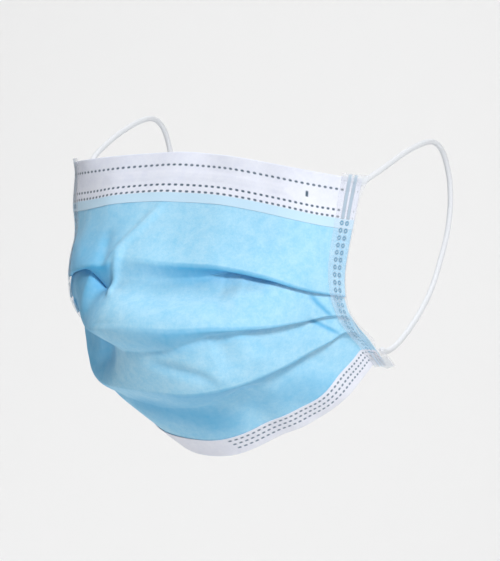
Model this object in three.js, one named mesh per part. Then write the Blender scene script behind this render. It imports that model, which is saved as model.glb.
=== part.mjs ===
// A pleated surgical face mask in its worn form. Millimetres, +Z up, the front faces -Y and X runs
// across the face. The origin is the middle of the upper edge, where the mask sits on the nose.
import * as THREE from 'three';

// Driving dimensions of the cloth
const WIDTH = 175;              // from end to end, laid flat
const TOP_PANEL = 52;           // upper edge to the first fold
const UPPER_PANEL = 23.5;       // turn behind the first fold to the second fold
const LOWER_PANEL = 23.5;       // turn behind the second fold to the third fold
const BOTTOM_PANEL = 38;        // turn behind the third fold to the lower edge
const PLEAT_DEPTH = 12.5;       // cloth hidden behind each fold where it is pressed flat
const WALL = 1;                 // thickness of one layer
const LAYER_GAP = 0.3;          // clearance between pressed layers
const PIECE_GAP = 0.6;          // clearance between neighbouring pieces
const TAPE_GAP = 0.8;           // clearance between an end tape and the stack it holds

// Edge strips, end tapes and ear loops
const TOP_STRIP = 22.3;         // height of the upper strip on the outer face
const TOP_STRIP_BACK = 12;      // height of the upper strip on the inner face
const BOTTOM_STRIP = 11;
const BOTTOM_STRIP_BACK = 9;
const TAPE = 11.5;              // width of an end tape on the outer face
const TAPE_BACK = 9;
const TAPE_OVERHANG = 2;        // tape past the upper and lower edges
const TAPE_EASE = 6;            // run over which a tape steps down from a strip to the bare cloth
const CORD = 2.5;               // ear loop diameter
const CORD_SIDES = 8;
const CORD_STEP = 2;            // length of one step along an ear loop, in diameters

const HALF = WIDTH / 2;
const LAYER = WALL + LAYER_GAP;   // from the middle of one pressed layer to the middle of the next
const COVER = WALL + PIECE_GAP;   // from the middle of a layer to the middle of the piece that covers it
const TAPE_COVER = WALL + TAPE_GAP;
const EDGE = PIECE_GAP + WALL / 2;  // from a cloth edge to the middle of the strip folded over it

// Counts of facets
const STATIONS = 40;            // across the whole width
const TAPE_STATIONS = 32;       // along an end
const LINE_STEPS = 120;
const COLUMN_STEPS = 60;

// The middle line, seen from the side: how far the cloth leans forward, in degrees, at a share of its length
const MIDDLE_LINE = [
  { at: 0.0, forward: 8 },
  { at: 0.2, forward: 22 },
  { at: 0.4, forward: 40 },
  { at: 0.6, forward: -50 },
  { at: 0.8, forward: -60 },
  { at: 1.0, forward: -60 },
];

// Each end of the cloth, as degrees forward and outward at a share of its length
const END_LINE = [
  { at: 0.0, forward: -14, outward: -14 },
  { at: 0.37, forward: 20, outward: 3 },
  { at: 0.63, forward: -42, outward: 6 },
  { at: 0.78, forward: -62, outward: 12 },
  { at: 1.0, forward: -60, outward: 3 },
];

// Where an end line starts, as shares of the half width
const CORNER = { across: 0.8, behind: 0.2, below: 0.075 };

// How a row of the cloth bends from the middle to an end: the angle in plan at which it arrives, its drop there,
// and the pulls of its two ends as shares of the half width
const ROWS = [
  { at: 0.0, turn: 62, drop: 0, middlePull: 0.76, endPull: 0.95 },
  { at: 0.5, turn: 53, drop: -0.45, middlePull: 1.6, endPull: 0.72 },
  { at: 1.0, turn: 58, drop: -0.4, middlePull: 1.54, endPull: 0.47 },
];

// Where the cloth swells or tucks in: the middle and reach of each, across and down the surface, and how far it moves
// the cloth, as a share of the half width
const SWELLS = [
  { across: -1, acrossReach: 0.4, down: 0.18, downReach: 0.2, right: -0.034, back: 0, up: 0 },
  { across: -0.52, acrossReach: 0.38, down: 0.7, downReach: 0.16, right: 0.06, back: 0, up: -0.035 },
  { across: -0.44, acrossReach: 0.36, down: 0.87, downReach: 0.22, right: -0.09, back: 0, up: -0.05 },
  { across: -0.4, acrossReach: 0.4, down: 1.08, downReach: 0.2, right: 0.25, back: 0.16, up: 0 },
  { across: -1, acrossReach: 0.5, down: 1, downReach: 0.38, right: 0.065, back: 0.02, up: 0 },
  { across: 0.58, acrossReach: 0.3, down: 1, downReach: 0.3, right: 0.022, back: 0, up: -0.024 },
  { across: 0.24, acrossReach: 0.34, down: 1, downReach: 0.3, right: 0, back: 0, up: 0.022 },
];

// The three pleats from the top down: the panel that follows each, and the angle in degrees to which it stays folded
// in the middle
const PLEATS = [
  { panel: UPPER_PANEL, opened: 40 },
  { panel: LOWER_PANEL, opened: 25 },
  { panel: BOTTOM_PANEL, opened: 20 },
];

// Steps along each stretch of a section: top panel, then each pleat's fold, hidden layer, turn and panel
const TOP_STEPS = 6;
const PLEAT_STEPS = { fold: 1, hidden: 2, turn: 1, covered: 2, shown: 3 };

// Ear loop points in millimetres, as x, y, z, from the upper corner to the lower one
const EAR_LOOP_ROUTES = {
  left: [
    [-61.9, 20.4, -15.5],
    [-63.6, 22.4, -12.6],
    [-65.8, 25.4, -8.9],
    [-68, 29.8, -5],
    [-69.4, 36.5, -1],
    [-70.2, 46.5, 4],
    [-70.8, 58.8, 9.6],
    [-71, 74, 15.4],
    [-71, 88, 19.2],
    [-71, 98, 19],
    [-71, 106, 15.2],
    [-71, 112.5, 8],
    [-71, 117, 0],
    [-71, 119.5, -11.2],
    [-71, 118.2, -23.8],
    [-70.9, 113, -36],
    [-70.7, 104.5, -50],
    [-70.2, 93, -61],
    [-68.9, 81.5, -69.2],
    [-67.3, 71, -75.2],
    [-65.7, 62.5, -78.6],
    [-64.7, 56.5, -79.8],
    [-64, 51, -78.6],
  ],
  right: [
    [60, 20.4, -15.5],
    [62, 22.4, -12.6],
    [64.6, 25.4, -9.2],
    [67.2, 29.8, -5.6],
    [69, 36.5, -2],
    [70.2, 46.5, 2.6],
    [70.8, 58.8, 7.6],
    [71, 74, 12.4],
    [71, 88, 15.4],
    [71, 98, 15],
    [71, 106, 11.6],
    [71, 112.5, 5.4],
    [71, 117, -1.6],
    [71, 119.5, -12],
    [71, 118.2, -24],
    [71, 113, -36],
    [71, 104.5, -50],
    [71, 93, -61],
    [71, 81.5, -69.2],
    [71, 71, -75.2],
    [70.9, 62.5, -78.6],
    [70.7, 56.5, -79.8],
    [70.4, 51, -78.6],
  ],
};

const radians = (degrees) => degrees * Math.PI / 180;
const clamp = (value, low, high) => Math.min(high, Math.max(low, value));

function smooth(value) {
  const t = clamp(value, 0, 1);
  return t * t * (3 - 2 * t);
}

// A column of a table at a share between its rows, in straight steps
function readTable(table, column, share) {
  let row = 0;
  while (row < table.length - 2 && share > table[row + 1].at) {
    row += 1;
  }
  const from = table[row];
  const to = table[row + 1];
  return THREE.MathUtils.lerp(from[column], to[column], (share - from.at) / (to.at - from.at));
}

// A column of a table of three rows, as the parabola through them
function readCurve(table, column, share) {
  const [low, middle, high] = table;
  const span = (a, b) => (share - b.at) / (a.at - b.at);
  return low[column] * span(low, middle) * span(low, high)
    + middle[column] * span(middle, low) * span(middle, high)
    + high[column] * span(high, low) * span(high, middle);
}

// A section of the cloth as a path of run (distance down the worn surface) and depth (distance behind it). Closing goes
// from 0, where the pleats are as open as in the middle, to 1, where each is pressed flat under its panel.
function foldSection(closing) {
  const path = [{ run: 0, depth: 0 }];
  const addTo = (target, steps) => {
    const from = path[path.length - 1];
    for (let step = 1; step <= steps; step += 1) {
      path.push({
        run: THREE.MathUtils.lerp(from.run, target.run, step / steps),
        depth: THREE.MathUtils.lerp(from.depth, target.depth, step / steps),
      });
    }
    return target;
  };
  const along = (from, angle, distance) => ({
    run: from.run + distance * Math.cos(angle),
    depth: from.depth + distance * Math.sin(angle),
  });
  let fold = addTo({ run: TOP_PANEL, depth: 0 }, TOP_STEPS);
  for (const { panel, opened } of PLEATS) {
    const angle = THREE.MathUtils.lerp(radians(opened), Math.PI, closing);
    const behind = addTo(along(fold, angle / 2, LAYER), PLEAT_STEPS.fold);
    const hidden = addTo(along(behind, angle, PLEAT_DEPTH), PLEAT_STEPS.hidden);
    const turn = addTo(along(hidden, angle / 2, LAYER), PLEAT_STEPS.turn);
    const straight = Math.sqrt(panel ** 2 - turn.depth ** 2);
    const share = clamp((fold.run + LAYER_GAP + WALL / 2 - turn.run) / straight, 0.2, 0.8);
    const needed = (behind.depth + LAYER) * smooth(2 * closing - 1);
    const under = {
      run: turn.run + share * straight,
      depth: Math.max((1 - share) * turn.depth, needed),
    };
    const used = Math.hypot(under.run - turn.run, under.depth - turn.depth);
    addTo(under, PLEAT_STEPS.covered);
    fold = addTo({ run: under.run + Math.sqrt((panel - used) ** 2 - under.depth ** 2), depth: 0 }, PLEAT_STEPS.shown);
  }
  return path;
}

const runOf = (path) => path[path.length - 1].run;
const MIDDLE_LENGTH = runOf(foldSection(0));
const END_LENGTH = runOf(foldSection(1));

// A line of points of a given length that starts at a point and leans as its table says
function walkLine(start, table, length) {
  const points = [start.clone()];
  const step = length / LINE_STEPS;
  for (let index = 0; index < LINE_STEPS; index += 1) {
    const share = (index + 0.5) / LINE_STEPS;
    const forward = radians(readTable(table, 'forward', share));
    const outward = radians('outward' in table[0] ? readTable(table, 'outward', share) : 0);
    const heading = new THREE.Vector3(
      Math.sin(outward),
      -Math.sin(forward) * Math.cos(outward),
      -Math.cos(forward) * Math.cos(outward),
    );
    points.push(points[index].clone().addScaledVector(heading, step));
  }
  return points;
}

const middleLine = walkLine(new THREE.Vector3(0, 0, 0), MIDDLE_LINE, MIDDLE_LENGTH);
const corner = new THREE.Vector3(CORNER.across, CORNER.behind, -CORNER.below).multiplyScalar(HALF);
const endLine = walkLine(corner, END_LINE, END_LENGTH);

function pointAt(line, share) {
  const place = share * LINE_STEPS;
  const index = Math.min(LINE_STEPS - 1, Math.floor(place));
  return line[index].clone().lerp(line[index + 1], place - index);
}

// The worn surface: a row at each share of the way down, drawn as one cubic from the middle line to the end line and
// moved by the swells
function wornSurface(u, share) {
  const t = Math.abs(u);
  const turn = radians(readCurve(ROWS, 'turn', share));
  const leave = new THREE.Vector3(1, 0, 0).multiplyScalar(HALF * readCurve(ROWS, 'middlePull', share));
  const arrive = new THREE.Vector3(Math.cos(turn), Math.sin(turn), readCurve(ROWS, 'drop', share))
    .multiplyScalar(HALF * readCurve(ROWS, 'endPull', share));
  const point = pointAt(middleLine, share).multiplyScalar(2 * t ** 3 - 3 * t ** 2 + 1)
    .addScaledVector(leave, t ** 3 - 2 * t ** 2 + t)
    .addScaledVector(pointAt(endLine, share), 3 * t ** 2 - 2 * t ** 3)
    .addScaledVector(arrive, t ** 3 - t ** 2);
  point.x *= Math.sign(u) || 1;
  for (const swell of SWELLS) {
    const amount = HALF * smooth(1 - Math.abs(u - swell.across) / swell.acrossReach)
      * smooth(1 - Math.abs(share - swell.down) / swell.downReach);
    point.addScaledVector(new THREE.Vector3(swell.right, swell.back, swell.up), amount);
  }
  return point;
}

// How far down the worn surface each step of the column at u lies
const columns = new Map();

function columnAt(u) {
  if (!columns.has(u)) {
    const runs = [0];
    let last = wornSurface(u, 0);
    for (let index = 1; index <= COLUMN_STEPS; index += 1) {
      const next = wornSurface(u, index / COLUMN_STEPS);
      runs.push(runs[index - 1] + next.distanceTo(last));
      last = next;
    }
    columns.set(u, runs);
  }
  return columns.get(u);
}

// The section at u, from -1 at the left end to 1 at the right. Between the middle and the tapes the pleats close just
// as far as the worn surface gets shorter.
const sections = new Map();

function pleatSection(u) {
  if (!sections.has(u)) {
    const pressed = 1 - TAPE / HALF;
    const t = Math.abs(u);
    const lengthAt = (where) => columnAt(where * (Math.sign(u) || 1))[COLUMN_STEPS];
    const spare = (lengthAt(Math.min(t, pressed)) - lengthAt(pressed)) / (lengthAt(0) - lengthAt(pressed));
    const wanted = THREE.MathUtils.lerp(END_LENGTH, MIDDLE_LENGTH, spare);
    let [low, high] = [0, 1];
    while (high - low > 1e-6) {
      const closing = (low + high) / 2;
      if (runOf(foldSection(closing)) > wanted) {
        low = closing;
      } else {
        high = closing;
      }
    }
    sections.set(u, foldSection(t < pressed ? high : 1));
  }
  return sections.get(u);
}

// A point at a run and depth in the section at u, and past the end of the cloth by a distance if one is given. Past
// the last row the surface goes straight on.
function place(u, run, depth, past = 0) {
  const delta = 0.01;
  const runs = columnAt(u);
  const step = runs.findLastIndex((value) => value <= Math.max(run, 0));
  const within = step < COLUMN_STEPS ? (Math.max(run, 0) - runs[step]) / (runs[step + 1] - runs[step]) : 0;
  const share = (step + within) / COLUMN_STEPS;
  const beyond = run - clamp(run, 0, runs[COLUMN_STEPS]);
  const [left, right] = [clamp(u - delta, -1, 1), clamp(u + delta, -1, 1)];
  const [above, below] = [clamp(share - delta, 0, 1), clamp(share + delta, 0, 1)];
  const across = wornSurface(right, share).sub(wornSurface(left, share)).normalize();
  const down = wornSurface(u, below).sub(wornSurface(u, above)).normalize();
  const inward = new THREE.Vector3().crossVectors(across, down).normalize();
  const sideways = new THREE.Vector3().crossVectors(down, inward);
  return wornSurface(u, share)
    .addScaledVector(down, beyond)
    .addScaledVector(sideways, past * Math.sign(u))
    .addScaledVector(inward, depth);
}

// The two faces of a path as one ring: its outer face in order, then its inner face back again
function thicken(path) {
  const outer = [];
  const inner = [];
  path.forEach((point, index) => {
    const before = path[Math.max(index - 1, 0)];
    const after = path[Math.min(index + 1, path.length - 1)];
    const normalOf = (from, to) => {
      const length = Math.hypot(to.run - from.run, to.depth - from.depth);
      return { run: (to.depth - from.depth) / length, depth: (from.run - to.run) / length };
    };
    const first = normalOf(index ? before : point, index ? point : after);
    const second = normalOf(index < path.length - 1 ? point : before, index < path.length - 1 ? after : point);
    const reach = WALL / 2 / (1 + first.run * second.run + first.depth * second.depth);
    const mitre = { run: (first.run + second.run) * reach, depth: (first.depth + second.depth) * reach };
    outer.push({ run: point.run + mitre.run, depth: point.depth + mitre.depth });
    inner.unshift({ run: point.run - mitre.run, depth: point.depth - mitre.depth });
  });
  return [...outer, ...inner];
}

// One closed body through rings of equal count, each ring being two faces of a wall; the first and last are capped
function loft(rings) {
  const count = rings[0].length;
  const positions = rings.flat().flatMap((point) => point.toArray());
  const indices = [];
  const addQuad = (a, b, c, d) => indices.push(a, b, c, a, c, d);
  for (let ring = 0; ring < rings.length - 1; ring += 1) {
    for (let index = 0; index < count; index += 1) {
      const next = (index + 1) % count;
      addQuad(ring * count + index, ring * count + next, (ring + 1) * count + next, (ring + 1) * count + index);
    }
  }
  const last = (rings.length - 1) * count;
  for (let index = 0; index < count / 2 - 1; index += 1) {
    const far = count - 1 - index;
    addQuad(index, far, far - 1, index + 1);
    addQuad(last + index, last + index + 1, last + far - 1, last + far);
  }
  const geometry = new THREE.BufferGeometry();
  geometry.setAttribute('position', new THREE.Float32BufferAttribute(positions, 3));
  geometry.setIndex(volumeOf(positions, indices) < 0 ? indices.reverse() : indices);
  geometry.computeVertexNormals();
  return geometry;
}

function volumeOf(positions, indices) {
  const vertex = (index) => new THREE.Vector3().fromArray(positions, 3 * indices[index]);
  let volume = 0;
  for (let index = 0; index < indices.length; index += 3) {
    volume += vertex(index).dot(vertex(index + 1).cross(vertex(index + 2))) / 6;
  }
  return volume;
}

function bodyGeometry() {
  const rings = [];
  for (let station = 0; station <= STATIONS; station += 1) {
    const u = 2 * station / STATIONS - 1;
    rings.push(thicken(pleatSection(u)).map(({ run, depth }) => place(u, run, depth)));
  }
  return loft(rings);
}

// A path through corners, with a number of steps to each corner
function stepPath(corners) {
  const path = [{ run: corners[0].run, depth: corners[0].depth }];
  corners.slice(1).forEach(({ run, depth, steps }, index) => {
    const from = corners[index];
    for (let step = 1; step <= steps; step += 1) {
      path.push({
        run: THREE.MathUtils.lerp(from.run, run, step / steps),
        depth: THREE.MathUtils.lerp(from.depth, depth, step / steps),
      });
    }
  });
  return path;
}

// A strip folded over an edge of the cloth: down the outer face, over the edge and back down the inner face. It
// follows the panel that ends at that edge, whichever way the panel leans in the section.
function stripGeometry(outerHeight, innerHeight, atBottom) {
  const ring = thicken(stepPath([
    { run: outerHeight, depth: -COVER },
    { run: -EDGE, depth: -COVER, steps: 3 },
    { run: -EDGE, depth: COVER, steps: 1 },
    { run: innerHeight, depth: COVER, steps: 2 },
  ]));
  const rings = [];
  for (let station = 0; station <= STATIONS; station += 1) {
    const u = 2 * station / STATIONS - 1;
    const path = pleatSection(u);
    const [edge, next] = atBottom ? [path.at(-1), path.at(-2)] : path;
    const length = Math.hypot(next.run - edge.run, next.depth - edge.depth);
    const into = { run: (next.run - edge.run) / length, depth: (next.depth - edge.depth) / length };
    const behind = Math.sign(into.run);
    rings.push(ring.map(({ run, depth }) => place(
      u,
      edge.run + run * into.run - depth * behind * into.depth,
      edge.depth + run * into.depth + depth * behind * into.run,
    )));
  }
  return loft(rings);
}

// A tape folded over an end of the cloth and over the ends of both strips
function tapeGeometry(side) {
  const reach = EDGE + WALL / 2 + TAPE_OVERHANG;
  const innerDepth = 2 * LAYER + TAPE_COVER;
  const rings = [];
  for (let station = 0; station <= TAPE_STATIONS; station += 1) {
    const run = THREE.MathUtils.lerp(-reach, END_LENGTH + reach, station / TAPE_STATIONS);
    const belowTop = smooth((run - TOP_STRIP - PIECE_GAP) / TAPE_EASE);
    const aboveBottom = smooth((END_LENGTH - BOTTOM_STRIP - PIECE_GAP - run) / TAPE_EASE);
    const outerDepth = -TAPE_COVER - COVER * (1 - Math.min(belowTop, aboveBottom));
    const ring = thicken(stepPath([
      { run: -TAPE, depth: outerDepth },
      { run: EDGE, depth: outerDepth, steps: 3 },
      { run: EDGE, depth: innerDepth, steps: 1 },
      { run: -TAPE_BACK, depth: innerDepth, steps: 2 },
    ]));
    rings.push(ring.map(({ run: past, depth }) => {
      const u = side * (1 + Math.min(past, 0) / HALF);
      const stretch = runOf(pleatSection(u)) / END_LENGTH;
      return place(u, run * stretch, depth, Math.max(past, 0));
    }));
  }
  return loft(rings);
}

function earLoopGeometry(route) {
  const curve = new THREE.CatmullRomCurve3(route.map((point) => new THREE.Vector3(...point)));
  const section = new THREE.Shape();
  for (let index = 0; index < CORD_SIDES; index += 1) {
    const angle = 2 * Math.PI * index / CORD_SIDES;
    const rim = [Math.cos(angle) * CORD / 2, Math.sin(angle) * CORD / 2];
    if (index === 0) {
      section.moveTo(...rim);
    } else {
      section.lineTo(...rim);
    }
  }
  return new THREE.ExtrudeGeometry(section, {
    steps: Math.round(curve.getLength() / (CORD_STEP * CORD)),
    extrudePath: curve,
  });
}

const clothBlue = new THREE.MeshStandardMaterial({ color: 0x9fd6f2, roughness: 0.85, metalness: 0 });
const stripWhite = new THREE.MeshStandardMaterial({ color: 0xe6eaf4, roughness: 0.8, metalness: 0 });
const tapeClear = new THREE.MeshStandardMaterial({ color: 0xcfe2ee, roughness: 0.55, metalness: 0 });
const cordWhite = new THREE.MeshStandardMaterial({ color: 0xf2f3f5, roughness: 0.8, metalness: 0 });

const mask = new THREE.Group();

function addPiece(name, geometry, material) {
  const piece = new THREE.Mesh(geometry, material);
  piece.name = name;
  mask.add(piece);
}

addPiece('mask_body', bodyGeometry(), clothBlue);
addPiece('top_binding', stripGeometry(TOP_STRIP, TOP_STRIP_BACK, false), stripWhite);
addPiece('bottom_binding', stripGeometry(BOTTOM_STRIP, BOTTOM_STRIP_BACK, true), stripWhite);
for (const [name, side] of [['left', -1], ['right', 1]]) {
  addPiece(`side_binding_${name}`, tapeGeometry(side), tapeClear);
  addPiece(`ear_loop_${name}`, earLoopGeometry(EAR_LOOP_ROUTES[name]), cordWhite);
}

export default mask;
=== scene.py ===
import bpy
import numpy as np
from mathutils import Matrix, Vector


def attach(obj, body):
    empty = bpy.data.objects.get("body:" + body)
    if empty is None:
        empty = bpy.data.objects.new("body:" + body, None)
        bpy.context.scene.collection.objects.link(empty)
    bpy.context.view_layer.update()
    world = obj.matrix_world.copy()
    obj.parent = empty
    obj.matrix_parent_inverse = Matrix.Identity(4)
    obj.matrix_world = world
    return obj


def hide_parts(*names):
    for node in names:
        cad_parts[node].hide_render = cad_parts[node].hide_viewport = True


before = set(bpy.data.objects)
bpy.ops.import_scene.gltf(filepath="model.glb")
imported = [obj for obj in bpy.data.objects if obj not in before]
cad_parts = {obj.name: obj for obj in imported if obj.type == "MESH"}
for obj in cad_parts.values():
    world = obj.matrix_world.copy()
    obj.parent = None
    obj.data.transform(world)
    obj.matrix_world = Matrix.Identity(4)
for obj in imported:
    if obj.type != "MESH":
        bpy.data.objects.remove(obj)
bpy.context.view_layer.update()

# A pleated surgical face mask in its worn form. Surfaces are worked out in millimetres and become metres when
# a mesh is made. The front faces -Y, X runs across the face, and the origin is the middle of the upper edge.
MM = 0.001

# Cloth
WIDTH = 175.0
TOP_PANEL = 52.0
UPPER_PANEL = 23.5
LOWER_PANEL = 23.5
BOTTOM_PANEL = 38.0
PLEAT_DEPTH = 12.5
WALL = 0.45                 # real thickness of the cloth
OPEN_TURN = 1.3             # width of a crease where a pleat is open
PRESSED_TURN = 0.75         # width of a crease where a pleat is pressed flat
PRESSED_SLOPE = 1.9         # how far a pressed layer leans inward, so that it lies behind the next pleat up
PLEAT_STANDING = 0.25       # share of its depth that a pleat stands out behind the cloth once it has sagged
PLEAT_SAG = dict(start=0.08, over=0.25)     # closing at which a pleat starts to sag, and how long it goes on
HALF = WIDTH / 2

# Strips, tapes and ear loops
TOP_STRIP = 22.3
TOP_STRIP_BACK = 12.0
BOTTOM_STRIP = 11.0
BOTTOM_STRIP_BACK = 9.0
STRIP_WALL = 0.2
STRIP_LIFT = 0.04           # air between a strip and the cloth
TAPE = 11.5
TAPE_BACK = 9.0
TAPE_OVERHANG = 2.0
TAPE_WALL = 0.14
TAPE_EASE = 5.0
CORD = 2.5

# Tables that the cloth hangs on: see each function for how they are read
MIDDLE_LINE = dict(at=(0.0, 0.2, 0.4, 0.6, 0.8, 1.0), forward=(8, 22, 40, -50, -60, -60))
END_LINE = dict(
    at=(0.0, 0.37, 0.63, 0.78, 1.0),
    forward=(-14, 20, -42, -62, -60),
    outward=(-14, 3, 6, 12, 3),
)
CORNER = dict(across=0.8, behind=0.2, below=0.075)
ROWS = dict(
    turn=(62, 53, 58),
    drop=(0.0, -0.45, -0.4),
    middle_pull=(0.76, 1.6, 1.54),
    end_pull=(0.95, 0.72, 0.47),
)
SWELLS = (
    dict(across=-1.0, across_reach=0.4, down=0.18, down_reach=0.2, move=(-0.034, 0.0, 0.0)),
    dict(across=-0.52, across_reach=0.38, down=0.7, down_reach=0.16, move=(0.06, 0.0, -0.035)),
    dict(across=-0.44, across_reach=0.36, down=0.87, down_reach=0.22, move=(-0.09, 0.0, -0.05)),
    dict(across=-0.4, across_reach=0.4, down=1.08, down_reach=0.2, move=(0.25, 0.16, 0.0)),
    dict(across=-1.0, across_reach=0.5, down=1.0, down_reach=0.38, move=(0.065, 0.02, 0.0)),
    dict(across=0.58, across_reach=0.3, down=1.0, down_reach=0.3, move=(0.022, 0.0, -0.024)),
    dict(across=0.24, across_reach=0.34, down=1.0, down_reach=0.3, move=(0.0, 0.0, 0.022)),
    dict(across=0.76, across_reach=0.2, down=1.0, down_reach=0.3, move=(0.014, 0.0, -0.028)),
    dict(across=0.49, across_reach=0.22, down=1.0, down_reach=0.3, move=(0.006, 0.0, -0.018)),
)
PLEATS = (
    dict(panel=UPPER_PANEL, opened=40, shade=1.0),
    dict(panel=LOWER_PANEL, opened=25, shade=0.7),
    dict(panel=BOTTOM_PANEL, opened=20, shade=0.7),
)
# How far each pleat's inner crease is drawn down the face and inward, along u
DRAWN = (
    dict(at=(-1.0, -0.5, -0.33, -0.25, -0.1, 0.0, 0.1, 0.2, 0.25, 0.3, 0.35, 0.45, 0.8),
         run=(0.0, -3.0, -4.0, -5.0, -6.5, -7.0, -7.5, -8.5, -9.0, -7.5, -5.8, -4.0, 0.0),
         depth=(0.0, 0.5, 0.0, -2.5, -3.5, -4.0, -4.5, -6.0, -5.5, -2.5, 0.0, 0.6, 0.0)),
    dict(at=(-0.9, -0.4, -0.3, -0.2, -0.1, 0.0, 0.1, 0.2, 0.3, 0.45, 0.9),
         run=(0.0, -1.0, 1.5, 4.0, 1.6, -0.5, -5.0, -6.8, -4.0, -1.5, 0.0),
         depth=(0.0, 0.8, 0.0, 0.0, 0.0, 1.0, -1.5, -3.5, -1.5, 0.4, 0.0)),
    dict(at=(-0.9, -0.3, -0.2, -0.1, 0.0, 0.1, 0.3, 0.9),
         run=(0.0, 4.0, 6.0, 6.8, 3.5, 2.4, 2.0, 0.0),
         depth=(0.0, 0.0, 0.0, 0.0, 0.0, 0.0, 0.0, 0.0)),
)
# How much painted shade, in the deeper colour, shows in the folds, and on the flank beside them, along u
FOLD_SHADE = dict(at=(-1.0, -0.34, -0.26, -0.08, 0.04, 1.0), amount=(1.0, 1.0, 0.15, 0.4, 1.0, 1.0))
FLANK_SHADE = dict(at=(-1.0, -0.5, -0.32, -0.26, 1.0), amount=(0.8, 0.7, 0.45, 0.0, 0.0))
# How far the first pleat is drawn out smooth, along u
FOLD_SOFT = dict(at=(-1.0, -0.33, -0.29, -0.2, -0.08, 1.0), amount=(0.0, 0.0, 0.9, 0.8, 0.0, 0.0))
# Steps along each stretch of a section
TOP_STEPS = 44
PLEAT_STEPS = dict(fold=4, hidden=12, turn=4, covered=8, shown=18)

# Ear loop points in metres, from the upper corner to the lower one
EAR_LOOP_ROUTES = dict(
    left=(
        (-0.0619, 0.0204, -0.0155),
        (-0.0636, 0.0224, -0.0126),
        (-0.0658, 0.0254, -0.0089),
        (-0.0680, 0.0298, -0.0050),
        (-0.0694, 0.0365, -0.0010),
        (-0.0702, 0.0465, 0.0040),
        (-0.0708, 0.0588, 0.0096),
        (-0.0710, 0.0740, 0.0154),
        (-0.0710, 0.0880, 0.0192),
        (-0.0710, 0.0980, 0.0190),
        (-0.0710, 0.1060, 0.0152),
        (-0.0710, 0.1125, 0.0080),
        (-0.0710, 0.1170, 0.0000),
        (-0.0710, 0.1195, -0.0112),
        (-0.0710, 0.1182, -0.0238),
        (-0.0709, 0.1130, -0.0360),
        (-0.0707, 0.1045, -0.0500),
        (-0.0702, 0.0930, -0.0610),
        (-0.0689, 0.0815, -0.0692),
        (-0.0673, 0.0710, -0.0752),
        (-0.0657, 0.0625, -0.0786),
        (-0.0647, 0.0565, -0.0798),
        (-0.0640, 0.0510, -0.0786),
    ),
    right=(
        (0.0600, 0.0204, -0.0155),
        (0.0620, 0.0224, -0.0126),
        (0.0646, 0.0254, -0.0092),
        (0.0672, 0.0298, -0.0056),
        (0.0690, 0.0365, -0.0020),
        (0.0702, 0.0465, 0.0026),
        (0.0708, 0.0588, 0.0076),
        (0.0710, 0.0740, 0.0124),
        (0.0710, 0.0880, 0.0154),
        (0.0710, 0.0980, 0.0150),
        (0.0710, 0.1060, 0.0116),
        (0.0710, 0.1125, 0.0054),
        (0.0710, 0.1170, -0.0016),
        (0.0710, 0.1195, -0.0120),
        (0.0710, 0.1182, -0.0240),
        (0.0710, 0.1130, -0.0360),
        (0.0710, 0.1045, -0.0500),
        (0.0710, 0.0930, -0.0610),
        (0.0710, 0.0815, -0.0692),
        (0.0710, 0.0710, -0.0752),
        (0.0709, 0.0625, -0.0786),
        (0.0707, 0.0565, -0.0798),
        (0.0704, 0.0510, -0.0786),
    ),
)

# Camera: millimetres from the origin, degrees, and pixels in a frame of 500 by 561
IMAGE_WIDTH, IMAGE_HEIGHT = 500, 561
CAMERA_DISTANCE = 1500.0
CAMERA_AZIMUTH = 25.0
CAMERA_ELEVATION = -0.5
CAMERA_ROLL = 4.4
PIXELS_PER_MM = 2.3
ORIGIN_PIXEL = (199.5, 153.5)


def smooth(value):
    """Zero below 0, one above 1, and 3t^2 - 2t^3 between."""
    t = np.clip(value, 0.0, 1.0)
    return t * t * (3.0 - 2.0 * t)


def mix(low, high, share):
    """A straight blend from low at 0 to high at 1."""
    return low + (high - low) * share


def parabola(values, share):
    """The parabola through three values at shares 0, 0.5 and 1."""
    low, middle, high = values
    return (low * 2.0 * (share - 0.5) * (share - 1.0)
            - middle * 4.0 * share * (share - 1.0)
            + high * 2.0 * share * (share - 0.5))


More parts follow.
